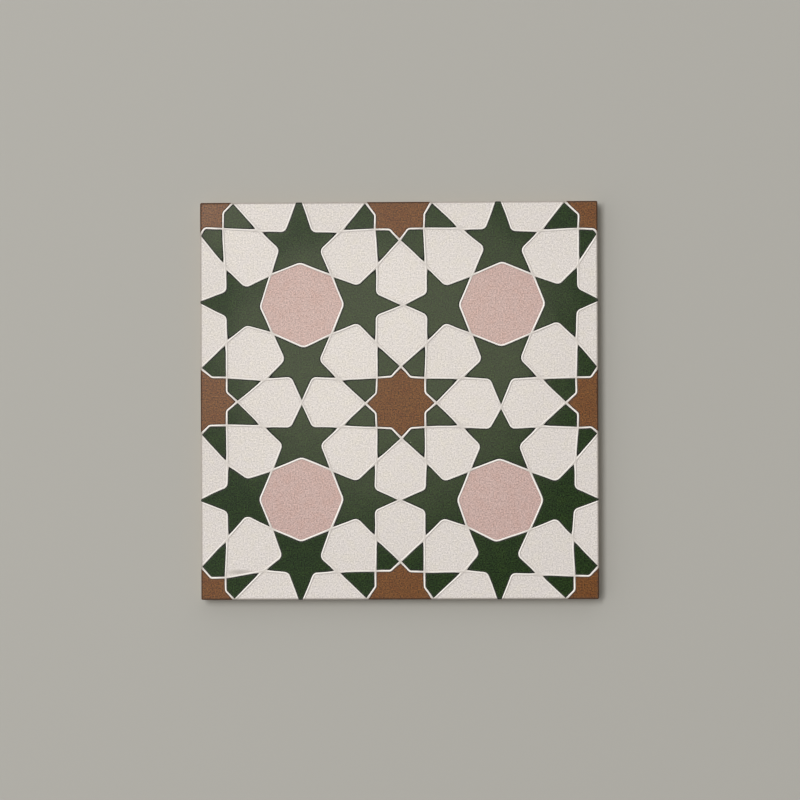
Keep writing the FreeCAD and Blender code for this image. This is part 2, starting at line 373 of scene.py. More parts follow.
# %% Lay the fields out as one sheet
POOL_GRID = 3.2
POOL_SWELL = [(14.0, 0.030, 5.1), (4.0, 0.010, 8.4)]
LINE_WAVER = (9.0, 0.12, 21.3)
WELD = 0.002
NEAR_TILE = HALF + 4

sheet = bmesh.new()
height_layer = sheet.verts.layers.float.new("height")
from_line_layer = sheet.verts.layers.float.new("from_line")
crossing_layer = sheet.verts.layers.float.new("crossing")
over_edge_layer = sheet.verts.layers.float.new("over_edge")
tone_layer = sheet.faces.layers.float.new("tone")
LINE_SLOT = len(GLAZES)
WASHED_SLOT = LINE_SLOT + 1
BODY_SLOT = LINE_SLOT + 2


def swell(x, y):
    """How much the pooled glaze rises or sinks at a place, in mm."""
    return sum(amount * noise.noise(Vector((x / size, y / size, seed))) for size, amount, seed in POOL_SWELL)


def put_vertex(x, y, height, from_line):
    """One vertex of the flat sheet, with its height and its distance from the line kept beside it."""
    vertex = sheet.verts.new((x, y, 0))
    vertex[height_layer] = height
    vertex[from_line_layer] = from_line
    return vertex


def put_face(vertices, slot, tone):
    """One face of the flat sheet, with its finish and its field's tone."""
    face = sheet.faces.new(vertices)
    face.material_index = slot
    face[tone_layer] = tone
    face.smooth = True


def grid_inside(points):
    """Points of a triangular grid that lie inside an outline and not close to it."""
    low_x, high_x = min(p.x for p in points), max(p.x for p in points)
    low_y, high_y = min(p.y for p in points), max(p.y for p in points)
    row_height = POOL_GRID * math.sqrt(0.75)
    found = []
    for row in range(int(low_y / row_height), int(high_y / row_height) + 1):
        for column in range(int(low_x / POOL_GRID) - 1, int(high_x / POOL_GRID) + 2):
            spot = Vector(((column + 0.5 * (row % 2)) * POOL_GRID, row * row_height))
            inside = False
            nearest = POOL_GRID
            for a, b in zip(points, points[1:] + points[:1]):
                nearest = min(nearest, (spot - a).length)
                if (a.y > spot.y) != (b.y > spot.y):
                    if spot.x < a.x + (b.x - a.x) * (spot.y - a.y) / (b.y - a.y):
                        inside = not inside
            if inside and nearest > POOL_GRID / 2:
                found.append(spot)
    return found


def fill_pool(loop, slot, tone):
    """Fills the last ring of a field with triangles through a grid of points."""
    rim = [Vector((v.co.x, v.co.y)) for v in loop]
    spots = grid_inside(rim)
    edges = [(i, (i + 1) % len(rim)) for i in range(len(rim))]
    made = delaunay_2d_cdt(rim + spots, edges, [list(range(len(rim)))], 1, 1e-6)
    places, faces, sources = made[0], made[2], made[3]
    vertices = []
    for place, source in zip(places, sources):
        on_rim = [index for index in source if index < len(rim)]
        height = swell(place.x, place.y)
        vertices.append(loop[on_rim[0]] if on_rim else put_vertex(place.x, place.y, height, POOL_GRID))
    for face in faces:
        put_face([vertices[index] for index in face], slot, tone)


def lay_field(glaze, corners, tone):
    """The half lines around a field, its foot and its pool of glaze."""
    placed = [(*drawn(x, y), name) for x, y, name in corners]
    crossings = [(Vector((x, y)), name) for x, y, name in placed if name not in BENDS]
    sides = side_steps(placed)
    middle = outline(placed, 0.0, sides)
    loops = []
    for number, (distance, height) in enumerate(PROFILE):
        points = middle if distance == 0 else outline(placed, distance, sides)
        loop = []
        for centre, point in zip(middle, points):
            size, amount, seed = LINE_WAVER
            away, name = min(((centre - place).length, name) for place, name in crossings)
            starved = max(0.0, 1 - away / CROSSING_REACH)
            wider = 1 + amount * noise.noise(Vector((centre.x / size, centre.y / size, seed)))
            wider += CROSSING_SPREAD.get((glaze, name), 0.0) * starved
            x, y = wander(*(centre + (point - centre) * wider))
            level = height * (1 - CROSSING_LOSS * starved) if number < LINE_RINGS else height
            if number >= len(PROFILE) - POOL_RINGS:
                level += swell(x, y)
            vertex = put_vertex(x, y, level, distance)
            vertex[crossing_layer] = starved
            loop.append(vertex)
        loops.append(loop)
    for number in range(len(loops) - 1):
        outer, inner = loops[number], loops[number + 1]
        slot = GLAZES.index(glaze)
        if number < LINE_RINGS:
            slot = WASHED_SLOT if glaze == "cream" else LINE_SLOT
        for i in range(len(outer)):
            j = (i + 1) % len(outer)
            put_face([outer[i], outer[j], inner[j], inner[i]], slot, tone)
    fill_pool(loops[-1], GLAZES.index(glaze), tone)


laid = 0
for number, (glaze, corners) in enumerate(all_fields):
    reach_x = [abs(x) for x, y, name in corners]
    reach_y = [abs(y) for x, y, name in corners]
    if min(reach_x) < NEAR_TILE and min(reach_y) < NEAR_TILE:
        middle_x = sum(x for x, y, name in corners) / len(corners)
        middle_y = sum(y for x, y, name in corners) / len(corners)
        tone = noise.noise(Vector((middle_x * 0.37, middle_y * 0.37, 2.6)))
        lay_field(glaze, corners, tone)
        laid += 1
bmesh.ops.remove_doubles(sheet, verts=[v for v in sheet.verts if v[from_line_layer] == 0], dist=WELD)
print("%d fields laid, %d faces" % (laid, len(sheet.faces)))

# %% [markdown]
# ## Cutting the sheet and rolling it over the edge
#
# The face's edge is rounded with a radius of half a millimetre, and the glaze runs over it and a little
# way down the sides. So the flat sheet is cut a bit larger than the face and its margin is folded down:
# the distance past the start of the rounding is used as the way along the rounding and then down the
# side. The lines roll over with it and flatten on the way, as glaze and slip do.

# %% The way over the edge, from the face down to the back
EDGE_RADIUS = 0.5
CORNER_RADIUS = 0.8
BEVEL_HEIGHT = 3.5
BEVEL_WIDTH = 0.5
GLAZE_DOWN_SIDE = 0.7
GLAZE_EDGE_WAVE = (5.0, 0.55, 14.9)
FLOOR_OF_FIELDS = THICKNESS - LINE_HEIGHT
ROUNDING_LENGTH = EDGE_RADIUS * math.pi / 2
FLAT_LIMIT = HALF - EDGE_RADIUS
CORNER_CENTRE = HALF - CORNER_RADIUS


def past_edge(x, y):
    """How far a point is past the flat part, which way is out there, and the flat part's nearest point."""
    over_x, over_y = abs(x) - CORNER_CENTRE, abs(y) - CORNER_CENTRE
    sign_x, sign_y = math.copysign(1, x), math.copysign(1, y)
    if over_x > 0 and over_y > 0:
        out = Vector((over_x, over_y)).normalized()
        start = CORNER_RADIUS - EDGE_RADIUS
        distance = math.hypot(over_x, over_y) - start
        nearest = Vector((sign_x * (CORNER_CENTRE + out.x * start), sign_y * (CORNER_CENTRE + out.y * start)))
        return distance, Vector((out.x * sign_x, out.y * sign_y)), nearest
    if over_x > over_y:
        return abs(x) - FLAT_LIMIT, Vector((sign_x, 0)), Vector((sign_x * FLAT_LIMIT, y))
    return abs(y) - FLAT_LIMIT, Vector((0, sign_y)), Vector((x, sign_y * FLAT_LIMIT))


def side_height(distance):
    """Height on the side at a way past the flat part."""
    return FLOOR_OF_FIELDS - EDGE_RADIUS - (distance - ROUNDING_LENGTH)


def folded(x, y, height):
    """The place in space of a point of the flat sheet, in mm."""
    distance, out, nearest = past_edge(x, y)
    if distance <= 0:
        return Vector((x, y, FLOOR_OF_FIELDS + height))
    if distance < ROUNDING_LENGTH:
        angle = distance / EDGE_RADIUS
        kept = height * math.cos(angle) ** 3
        reach = EDGE_RADIUS * math.sin(angle) + kept * math.sin(angle)
        level = FLOOR_OF_FIELDS - EDGE_RADIUS * (1 - math.cos(angle)) + kept * math.cos(angle)
        return Vector((*(nearest + out * min(reach, EDGE_RADIUS)), level))
    level = side_height(distance)
    lean = BEVEL_WIDTH * max(0.0, 1 - level / BEVEL_HEIGHT)
    return Vector((*(nearest + out * (EDGE_RADIUS - lean)), level))


# %% Cut the sheet a little larger than the face
CORNER_CUTS = 5
QUARTER_TURN = math.pi / 2
CUT_SLACK = 1e-5
cut_at = ROUNDING_LENGTH + GLAZE_DOWN_SIDE


def edge_plane(quarter, cut, distance):
    """A point and the way out of the plane at a distance past the flat part; cut 0 is a straight side."""
    angle = QUARTER_TURN * (quarter + cut / (CORNER_CUTS + 1))
    way = Vector((math.cos(angle), math.sin(angle), 0))
    if cut == 0:
        return way * (FLAT_LIMIT + distance), way
    middle = QUARTER_TURN * (quarter + 0.5)
    centre = Vector((math.cos(middle), math.sin(middle), 0)) * CORNER_CENTRE * math.sqrt(2)
    return centre + way * (CORNER_RADIUS - EDGE_RADIUS + distance), way


for quarter in range(ARMS):
    for cut in range(CORNER_CUTS + 1):
        spot, way = edge_plane(quarter, cut, cut_at)
        everything = sheet.verts[:] + sheet.edges[:] + sheet.faces[:]
        bmesh.ops.bisect_plane(sheet, geom=everything, plane_co=spot, plane_no=way, clear_outer=True,
                               dist=CUT_SLACK)

# %% Score the margin where the rounding bends, so that it folds in narrow strips
FOLD_STEPS = 4
# The glaze turns matt and dark this far before the rounding begins, in mm
EDGE_LEAD = 0.6
scores = [-EDGE_LEAD] + [ROUNDING_LENGTH * step / FOLD_STEPS for step in range(FOLD_STEPS + 1)]
for quarter in range(ARMS):
    for cut in range(CORNER_CUTS + 1):
        spot, way = edge_plane(quarter, cut, scores[0])
        level = spot.dot(way) - CUT_SLACK
        past = [f for f in sheet.faces if max(v.co.dot(way) for v in f.verts) > level]
        margin = past + list({e for f in past for e in f.edges}) + list({v for f in past for v in f.verts})
        for score in scores:
            spot, way = edge_plane(quarter, cut, score)
            scored = bmesh.ops.bisect_plane(sheet, geom=margin, plane_co=spot, plane_no=way, dist=CUT_SLACK)
            margin = scored["geom"]
print("%d faces after the cuts" % len(sheet.faces))

# %% Let the glaze's lower edge waver, and draw the sides down
rim = [e for e in sheet.edges if e.is_boundary]
for vertex in {v for e in rim for v in e.verts}:
    distance, out, nearest = past_edge(vertex.co.x, vertex.co.y)
    size, amount, seed = GLAZE_EDGE_WAVE
    run = amount * noise.noise(Vector((nearest.x / size, nearest.y / size, seed)))
    vertex.co = (*(vertex.co.xy + out * run), 0)

# Heights of the rows of the bare side, from under the glaze to the back's edge
SIDE_ROWS = [5.6, 4.6, BEVEL_HEIGHT, 1.8, 0.12, 0.0]
BACK_EDGE_WEAR = 0.12
for level in SIDE_ROWS:
    grown = bmesh.ops.extrude_edge_only(sheet, edges=rim)["geom"]
    for face in [g for g in grown if isinstance(g, bmesh.types.BMFace)]:
        face.material_index = BODY_SLOT
        face.smooth = True
    for vertex in [g for g in grown if isinstance(g, bmesh.types.BMVert)]:
        distance, out, nearest = past_edge(vertex.co.x, vertex.co.y)
        wanted = ROUNDING_LENGTH + FLOOR_OF_FIELDS - EDGE_RADIUS - level
        vertex.co = (*(nearest + out * wanted), 0)
    rim = [g for g in grown if isinstance(g, bmesh.types.BMEdge) and g.is_boundary]
print("the glaze ends %.1f mm under the face" % (THICKNESS - side_height(cut_at)))

# %% Fold the margin down
for vertex in sheet.verts:
    vertex[over_edge_layer] = max(0.0, past_edge(vertex.co.x, vertex.co.y)[0] + EDGE_LEAD)
    vertex.co = folded(vertex.co.x, vertex.co.y, vertex[height_layer])
for vertex in {v for e in rim for v in e.verts}:
    distance, out, nearest = past_edge(vertex.co.x, vertex.co.y)
    inward = Vector((vertex.co.x, vertex.co.y)) - out * BACK_EDGE_WEAR
    vertex.co = (inward.x, inward.y, 0)
print("the folded sheet has %d vertices" % len(sheet.verts))

# %% [markdown]
# ## The back
#
# A pressed tile has shallow square keys in its back, which the adhesive grips, and ribs between them
# that it rests on. Their sizes are those of the engineering model. A grid of square faces with the keys
# pushed in is the simplest way, with a strip of triangles from the grid to the sides. The keys' edges
# get a small bevel, because pressed clay has no knife edges.

# %% Ribs and keys
KEY_BORDER = 7.0
KEY_RIB = 5.0
KEY_DEPTH = 0.7
KEY_LEAN = 0.4
KEYS = 8
KEY_BEVEL = 0.15
keys_start = -(HALF - BEVEL_WIDTH - KEY_BORDER)
key_side = (-2 * keys_start - (KEYS - 1) * KEY_RIB) / KEYS

lines_of_grid = []
for number in range(KEYS):
    begin = keys_start + number * (key_side + KEY_RIB)
    lines_of_grid += [begin, begin + key_side]
grid = [[sheet.verts.new((x, y, 0)) for y in lines_of_grid] for x in lines_of_grid]
key_edges = set()
for i in range(len(lines_of_grid) - 1):
    for j in range(len(lines_of_grid) - 1):
        square = [grid[i][j], grid[i][j + 1], grid[i + 1][j + 1], grid[i + 1][j]]
        if i % 2 or j % 2:
            put_face(square, BODY_SLOT, 0.0)
            continue
        middle_x = (square[0].co.x + square[2].co.x) / 2
        middle_y = (square[0].co.y + square[2].co.y) / 2
        shrink = 1 - 2 * KEY_LEAN / key_side
        floor_corners = []
        for vertex in square:
            x = middle_x + (vertex.co.x - middle_x) * shrink
            y = middle_y + (vertex.co.y - middle_y) * shrink
            floor_corners.append(sheet.verts.new((x, y, KEY_DEPTH)))
        put_face(floor_corners, BODY_SLOT, 0.0)
        for k in range(len(square)):
            n = (k + 1) % len(square)
            put_face([square[k], square[n], floor_corners[n], floor_corners[k]], BODY_SLOT, 0.0)
            key_edges.add((square[k], square[n]))
            key_edges.add((floor_corners[k], floor_corners[n]))

inner = [e for e in sheet.edges if e.is_boundary and e not in rim]
strip = bmesh.ops.triangle_fill(sheet, use_beauty=True, use_dissolve=False, edges=rim + inner, normal=(0, 0, -1))
for face in [g for g in strip["geom"] if isinstance(g, bmesh.types.BMFace)]:
    face.material_index = BODY_SLOT
    face.smooth = True
wanted = {frozenset(pair) for pair in key_edges}
to_bevel = [e for e in sheet.edges if frozenset(e.verts) in wanted]
bmesh.ops.bevel(sheet, geom=to_bevel, offset=KEY_BEVEL, segments=2, profile=0.5, affect="EDGES")
bmesh.ops.recalc_face_normals(sheet, faces=sheet.faces[:])
open_edges = [e for e in sheet.edges if not e.is_manifold]
print("%d keys of %.1f mm, %d open edges" % (KEYS * KEYS, key_side, len(open_edges)))

# %% [markdown]
# ## Colours and one helper for nodes
#
# Finishes are written as the sRGB colours that the eye sees, and one function turns them to the linear
# values that the renderer adds up. A second one adds a node, gives it its settings, joins its inputs and
# hands back one output, so that a finish reads from top to bottom.

# %% Two helpers for the finishes
def linear(colour, alpha=1.0):
    """An sRGB colour such as #ded8d0 as linear red, green, blue and alpha."""
    parts = [int(colour[start:start + 2], 16) / 255 for start in (1, 3, 5)]
    return [p / 12.92 if p <= 0.04045 else ((p + 0.055) / 1.055) ** 2.4 for p in parts] + [alpha]


def add_node(tree, kind, gives, inputs, **settings):
    """Adds a node and returns its output named gives. An input is a value or another node's output."""
    made = tree.nodes.new(kind)
    for name, value in settings.items():
        setattr(made, name, value)
    for name, value in inputs.items():
        socket = next(s for s in made.inputs if name in (s.identifier, s.name))
        if isinstance(value, bpy.types.NodeSocket):
            tree.links.new(value, socket)
        else:
            socket.default_value = value
    return next((s for s in made.outputs if gives in (s.identifier, s.name)), None)


def per(size):
    """A pattern scale that repeats about once in a size in mm, for object coordinates in metres."""
    return 1 / (size * MM)


print("linear value of #808080: %.3f" % linear("#808080")[0])

# %% [markdown]
# ## Smooth glazes
#
# Each field is a smooth stoneware glaze: coloured glass a few tenths of a millimetre thick, which
# mirrors a lamp. Its surface has a faint orange peel, its colour clouds slowly where it lies thicker,
# blotches of a few millimetres lean to a second tint, and a fine grain comes from crystals in it. The
# real grain is too fine to show, so it is drawn 0.7 mm wide. Each field came out a touch lighter or
# darker. At the foot of a line the glaze is thin and matt, and a dark seam is painted there, in places
# more than in others: painted shade in the groove, with some dirt. Over the tile's edge the glaze is
# matt and darkens towards the seam colour. Pits or specks of less than half a millimetre stand here
# and there. IOR 1.5 is that of glass. A photograph of glaze would fix one view and one size; noise in
# real millimetres works at any distance.

# %% The sizes of a glaze's pattern, in mm
GLAZE_IOR = 1.5
PEEL_SIZE = 1.1
PEEL_HEIGHT = 0.004
CLOUD_SIZE = 24.0
BLOTCH_SIZE = 4.5
GRAIN_SIZE = 0.7
PATCHY_SEAM_SIZE = 11.0
SPECK_SPACING = 22.0
SPECK_SIZE = 0.45
SEAM_FADE = 0.3
# Where the edge's seam starts and is full, from the line where the glaze turns matt, and how dark it is
EDGE_SEAM_START = 0.1
EDGE_SEAM_FULL = 0.6
EDGE_SEAM = 0.72
THIN_ROUGHNESS = 0.95
# A grey smudge lies in the low left corner: its middle, its half length and width, and its colour
SMUDGE_PLACE = (-80.3, -86.0)
SMUDGE_HALF = (9.0, 1.8)
SMUDGE_COLOUR = "#8d857b"


# %% A glaze as nodes, from its slow clouds to its fine grain
def glazed(name, colours, seam, seam_width, roughness, grain, peel, smudge=0.0):
    """A glaze. colours are its body, cloud, blotch, seam and speck; seam, grain and smudge are strengths."""
    # The seam colour is painted shade in the groove at a line's foot, with some dirt; over the tile's edge the
    # glaze darkens to it too
    body, cloud, blotch, seam_shade_tint, speck = [linear(colour) for colour in colours]
    material = bpy.data.materials.new(name)
    material.use_nodes = True
    tree = material.node_tree
    tree.nodes.clear()
    place = add_node(tree, "ShaderNodeTexCoord", "Object", {})
    tone = add_node(tree, "ShaderNodeAttribute", "Fac", {}, attribute_name="tone")
    from_line = add_node(tree, "ShaderNodeAttribute", "Fac", {}, attribute_name="from_line")
    clouds = add_node(tree, "ShaderNodeTexNoise", "Fac",
                      {"Vector": place, "Scale": per(CLOUD_SIZE), "Detail": 3})
    amount = add_node(tree, "ShaderNodeMath", "Value",
                      {"Value": tone, "Value_001": 0.5, "Value_002": clouds},
                      operation="MULTIPLY_ADD", use_clamp=True)
    clouded = add_node(tree, "ShaderNodeMix", "Result_Color",
                       {"Factor_Float": amount, "A_Color": body, "B_Color": cloud}, data_type="RGBA")
    spots = add_node(tree, "ShaderNodeTexNoise", "Fac",
                     {"Vector": place, "Scale": per(BLOTCH_SIZE), "Detail": 2, "Distortion": 0.6})
    spotted = add_node(tree, "ShaderNodeMapRange", "Result",
                       {"Value": spots, "From Min": 0.42, "From Max": 0.72, "To Min": 0.0, "To Max": 0.9})
    blotched = add_node(tree, "ShaderNodeMix", "Result_Color",
                        {"Factor_Float": spotted, "A_Color": clouded, "B_Color": blotch},
                        data_type="RGBA")
    crystals = add_node(tree, "ShaderNodeTexNoise", "Fac",
                        {"Vector": place, "Scale": per(GRAIN_SIZE), "Detail": 2, "Roughness": 0.65})
    lighter = add_node(tree, "ShaderNodeMapRange", "Result",
                       {"Value": crystals, "From Min": 0.3, "From Max": 0.7,
                        "To Min": 1 - grain, "To Max": 1 + grain})
    grained = add_node(tree, "ShaderNodeVectorMath", "Vector", {"Vector": blotched, "Scale": lighter},
                       operation="SCALE")
    to_speck = add_node(tree, "ShaderNodeTexVoronoi", "Distance",
                        {"Vector": place, "Scale": per(SPECK_SPACING), "Randomness": 1.0})
    specks = add_node(tree, "ShaderNodeMapRange", "Result",
                      {"Value": to_speck, "From Min": 0.4 * SPECK_SIZE / SPECK_SPACING,
                       "From Max": SPECK_SIZE / SPECK_SPACING, "To Min": 0.8, "To Max": 0.0})
    specked = add_node(tree, "ShaderNodeMix", "Result_Color",
                       {"Factor_Float": specks, "A_Color": grained, "B_Color": speck}, data_type="RGBA")
    patches = add_node(tree, "ShaderNodeTexNoise", "Fac",
                       {"Vector": place, "Scale": per(PATCHY_SEAM_SIZE), "Detail": 1})
    if smudge > 0:
        half_length, half_width = SMUDGE_HALF
        inside = add_node(tree, "ShaderNodeMapping", "Vector",
                          {"Vector": place, "Scale": (per(half_length), per(half_width), 0),
                           "Location": (-SMUDGE_PLACE[0] / half_length, -SMUDGE_PLACE[1] / half_width, 0)})
        away = add_node(tree, "ShaderNodeVectorMath", "Value", {"Vector": inside}, operation="LENGTH")
        soiled = add_node(tree, "ShaderNodeMapRange", "Result",
                          {"Value": away, "From Min": 0.2, "From Max": 1.0, "To Min": smudge, "To Max": 0.0})
        broken = add_node(tree, "ShaderNodeMath", "Value", {"Value": soiled, "Value_001": lighter},
                          operation="MULTIPLY")
        specked = add_node(tree, "ShaderNodeMix", "Result_Color",
                           {"Factor_Float": broken, "A_Color": specked, "B_Color": linear(SMUDGE_COLOUR)},
                           data_type="RGBA")
    # Painted shade: a patchy dark seam in the groove at the line's foot
    line_foot_shade = add_node(tree, "ShaderNodeMapRange", "Result",
                     {"Value": from_line, "From Min": seam_width, "From Max": seam_width + SEAM_FADE,
                      "To Min": seam, "To Max": 0.0})
    held = add_node(tree, "ShaderNodeMapRange", "Result",
                    {"Value": patches, "From Min": 0.35, "From Max": 0.6, "To Min": 0.6, "To Max": 1.0})
    patchy_line_foot_shade = add_node(tree, "ShaderNodeMath", "Value", {"Value": line_foot_shade, "Value_001": held},
                       operation="MULTIPLY")
    over_edge = add_node(tree, "ShaderNodeAttribute", "Fac", {}, attribute_name="over_edge")
    on_edge = add_node(tree, "ShaderNodeMapRange", "Result",
                       {"Value": over_edge, "From Min": EDGE_SEAM_START, "From Max": EDGE_SEAM_FULL,
                        "To Min": 0.0, "To Max": EDGE_SEAM})
    foot_shade_and_edge_dark = add_node(tree, "ShaderNodeMath", "Value", {"Value": patchy_line_foot_shade, "Value_001": on_edge},
                       operation="MAXIMUM")
    matt_at_line = add_node(tree, "ShaderNodeMapRange", "Result",
                            {"Value": from_line, "From Min": seam_width, "From Max": seam_width + SEAM_FADE,
                             "To Min": THIN_ROUGHNESS, "To Max": roughness})
    matt_on_edge = add_node(tree, "ShaderNodeMapRange", "Result",
                            {"Value": over_edge, "From Min": 0.0, "From Max": EDGE_LEAD,
                             "To Min": roughness, "To Max": THIN_ROUGHNESS})
    matt = add_node(tree, "ShaderNodeMath", "Value", {"Value": matt_at_line, "Value_001": matt_on_edge},
                    operation="MAXIMUM")
    surface = add_node(tree, "ShaderNodeMix", "Result_Color",
                       {"Factor_Float": foot_shade_and_edge_dark, "A_Color": specked, "B_Color": seam_shade_tint},
                       data_type="RGBA")
    skin = add_node(tree, "ShaderNodeTexNoise", "Fac",
                    {"Vector": place, "Scale": per(PEEL_SIZE), "Detail": 2, "Roughness": 0.5})
    bump = add_node(tree, "ShaderNodeBump", "Normal",
                    {"Height": skin, "Distance": peel * PEEL_HEIGHT * MM, "Strength": 1.0})
    shader = add_node(tree, "ShaderNodeBsdfPrincipled", "BSDF",
                      {"Base Color": surface, "Roughness": matt, "IOR": GLAZE_IOR, "Normal": bump})
    add_node(tree, "ShaderNodeOutputMaterial", "none", {"Surface": shader})
    return material


# %% The four glazes
# The fourth colour of each glaze is its seam: painted shade at a line's foot, with some dirt
CREAM = ("#ded7d3", "#d9d2ce", "#dcd5cd", "#8a8178", "#8f867c")
PINK = ("#c9aea8", "#c3a7a1", "#c4a59d", "#9a8077", "#a58a7e")
BROWN = ("#70461e", "#6a4019", "#683c17", "#2e1a0c", "#946f52")
GREEN = ("#213317", "#1d2f12", "#253816", "#060a04", "#7e8a6c")
finishes = {
    "cream": glazed("cream_glaze", CREAM, 0.24, 0.60, 0.14, 0.26, 1.5, smudge=0.45),
    "pink": glazed("dusty_pink_glaze", PINK, 0.50, 0.60, 0.14, 0.38, 1.8),
    "brown": glazed("iron_brown_glaze", BROWN, 0.85, 0.70, 0.30, 0.90, 1.5),
    "green": glazed("copper_green_glaze", GREEN, 1.00, 0.80, 0.09, 1.00, 1.5),
}
print("%d glazes" % len(finishes))

# %% [markdown]
# ## The line and the fired body
#
# The raised line is an off-white slip with a satin skin. Beside the dark glazes it stays clean and is
# the lightest thing on the face. The cream glaze has washed over its own half of each line and left
# nearly its own colour there. Under the glaze the body is dry-pressed clay, fired to a pale buff, which
# shows on the sides and the back: matt, with fine grog that shows as grains of a third of a millimetre.

# %% Slip line and fired clay
SLIP_GRAIN = 0.6
SLIP_GRAIN_HEIGHT = 0.006
SLIP_ROUGHNESS = 0.3
GROG_SIZE = 0.35


def slip_line(name, colour, foot_colour):
    """The raised off-white line, a little greyer towards its foot."""
    material = bpy.data.materials.new(name)
    material.use_nodes = True
    tree = material.node_tree
    tree.nodes.clear()
    place = add_node(tree, "ShaderNodeTexCoord", "Object", {})
    from_line = add_node(tree, "ShaderNodeAttribute", "Fac", {}, attribute_name="from_line")
    crossing = add_node(tree, "ShaderNodeAttribute", "Fac", {}, attribute_name="crossing")
    foot = add_node(tree, "ShaderNodeMapRange", "Result",
                    {"Value": from_line, "From Min": 0.3, "From Max": LINE_HALF, "To Min": 0.0, "To Max": 1.0})
    thin = add_node(tree, "ShaderNodeMapRange", "Result",
                    {"Value": crossing, "From Min": 0.0, "From Max": 0.8, "To Min": 0.0, "To Max": 0.85})
    greyer = add_node(tree, "ShaderNodeMath", "Value", {"Value": foot, "Value_001": thin},
                      operation="MAXIMUM")
    clean = add_node(tree, "ShaderNodeMix", "Result_Color",
                     {"Factor_Float": greyer, "A_Color": linear(colour), "B_Color": linear(foot_colour)},
                     data_type="RGBA")
    over_edge = add_node(tree, "ShaderNodeAttribute", "Fac", {}, attribute_name="over_edge")
    on_edge = add_node(tree, "ShaderNodeMapRange", "Result",
                       {"Value": over_edge, "From Min": EDGE_SEAM_START, "From Max": EDGE_SEAM_FULL,
                        "To Min": 0.0, "To Max": EDGE_SEAM})
    skin = add_node(tree, "ShaderNodeMix", "Result_Color",
                    {"Factor_Float": on_edge, "A_Color": clean, "B_Color": linear(CREAM[3])},
                    data_type="RGBA")
    matt = add_node(tree, "ShaderNodeMapRange", "Result",
                    {"Value": over_edge, "From Min": 0.0, "From Max": EDGE_LEAD,
                     "To Min": SLIP_ROUGHNESS, "To Max": THIN_ROUGHNESS})
    grain = add_node(tree, "ShaderNodeTexNoise", "Fac",
                     {"Vector": place, "Scale": per(SLIP_GRAIN), "Detail": 2})
    bump = add_node(tree, "ShaderNodeBump", "Normal",
                    {"Height": grain, "Distance": SLIP_GRAIN_HEIGHT * MM, "Strength": 1.0})
    shader = add_node(tree, "ShaderNodeBsdfPrincipled", "BSDF",
                      {"Base Color": skin, "Roughness": matt, "IOR": GLAZE_IOR, "Normal": bump})
    add_node(tree, "ShaderNodeOutputMaterial", "none", {"Surface": shader})
    return material


def fired_clay(name, colour, grog_colour):
    """Dry-pressed fired clay, matt and grainy."""
    material = bpy.data.materials.new(name)
    material.use_nodes = True
    tree = material.node_tree
    tree.nodes.clear()
    place = add_node(tree, "ShaderNodeTexCoord", "Object", {})
    grog = add_node(tree, "ShaderNodeTexNoise", "Fac",
                    {"Vector": place, "Scale": per(GROG_SIZE), "Detail": 4, "Roughness": 0.7})
    amount = add_node(tree, "ShaderNodeMapRange", "Result",
                      {"Value": grog, "From Min": 0.52, "From Max": 0.68, "To Min": 0.0, "To Max": 0.7})
    skin = add_node(tree, "ShaderNodeMix", "Result_Color",
                    {"Factor_Float": amount, "A_Color": linear(colour), "B_Color": linear(grog_colour)},
                    data_type="RGBA")
    bump = add_node(tree, "ShaderNodeBump", "Normal",
                    {"Height": grog, "Distance": 0.05 * MM, "Strength": 1.0})
    shader = add_node(tree, "ShaderNodeBsdfPrincipled", "BSDF",
                      {"Base Color": skin, "Roughness": 0.88, "Normal": bump})
    add_node(tree, "ShaderNodeOutputMaterial", "none", {"Surface": shader})
    return material


line_finish = slip_line("off_white_slip_line", "#f6f1ec", "#cdc5be")
washed_finish = slip_line("cream_washed_slip_line", "#e6e0db", "#d1cac4")
body_finish = fired_clay("fired_buff_clay", "#cdbba4", "#a98f74")
print("lines and body ready")

# %% [markdown]
# ## One piece
#
# Everything is one fired piece, so it is one mesh with seven finishes. It rides on the root body
# and stands for the engineering model's tile, which it hides.

# %% Make the mesh and hand it to the frame
for vertex in sheet.verts:
    vertex.co *= MM
mesh = bpy.data.meshes.new("patterned_tile")
sheet.to_mesh(mesh)
sheet.free()
for glaze in GLAZES:
    mesh.materials.append(finishes[glaze])
mesh.materials.append(line_finish)
mesh.materials.append(washed_finish)
mesh.materials.append(body_finish)
SHARP = math.radians(50)
mesh.set_sharp_from_angle(angle=SHARP)
mesh.calc_loop_triangles()
tile = bpy.data.objects.new("patterned_tile", mesh)
bpy.context.scene.collection.objects.link(tile)
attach(tile, "root")
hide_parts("tile")
print("the tile has %d triangles" % len(mesh.loop_triangles))

# %% [markdown]
# ## Floor, light and camera
#
# The tile lies on a plain pale floor, which is left open under it, so that the back can be looked at
# from below. A long soft light hangs high at the upper left and gives the soft shadow, wide at the
# right edge and narrow at the lower one. Small weak lamps over the tile only show as the sheen on the
# glazes: three ovals that overlap make it fade towards the lower right. A room that is lighter on the
# side of the long light fills in the rest. The camera looks straight down but for a degree, as a
# hand-held one does.

# %% The floor
FLOOR_SIDE = 12.0
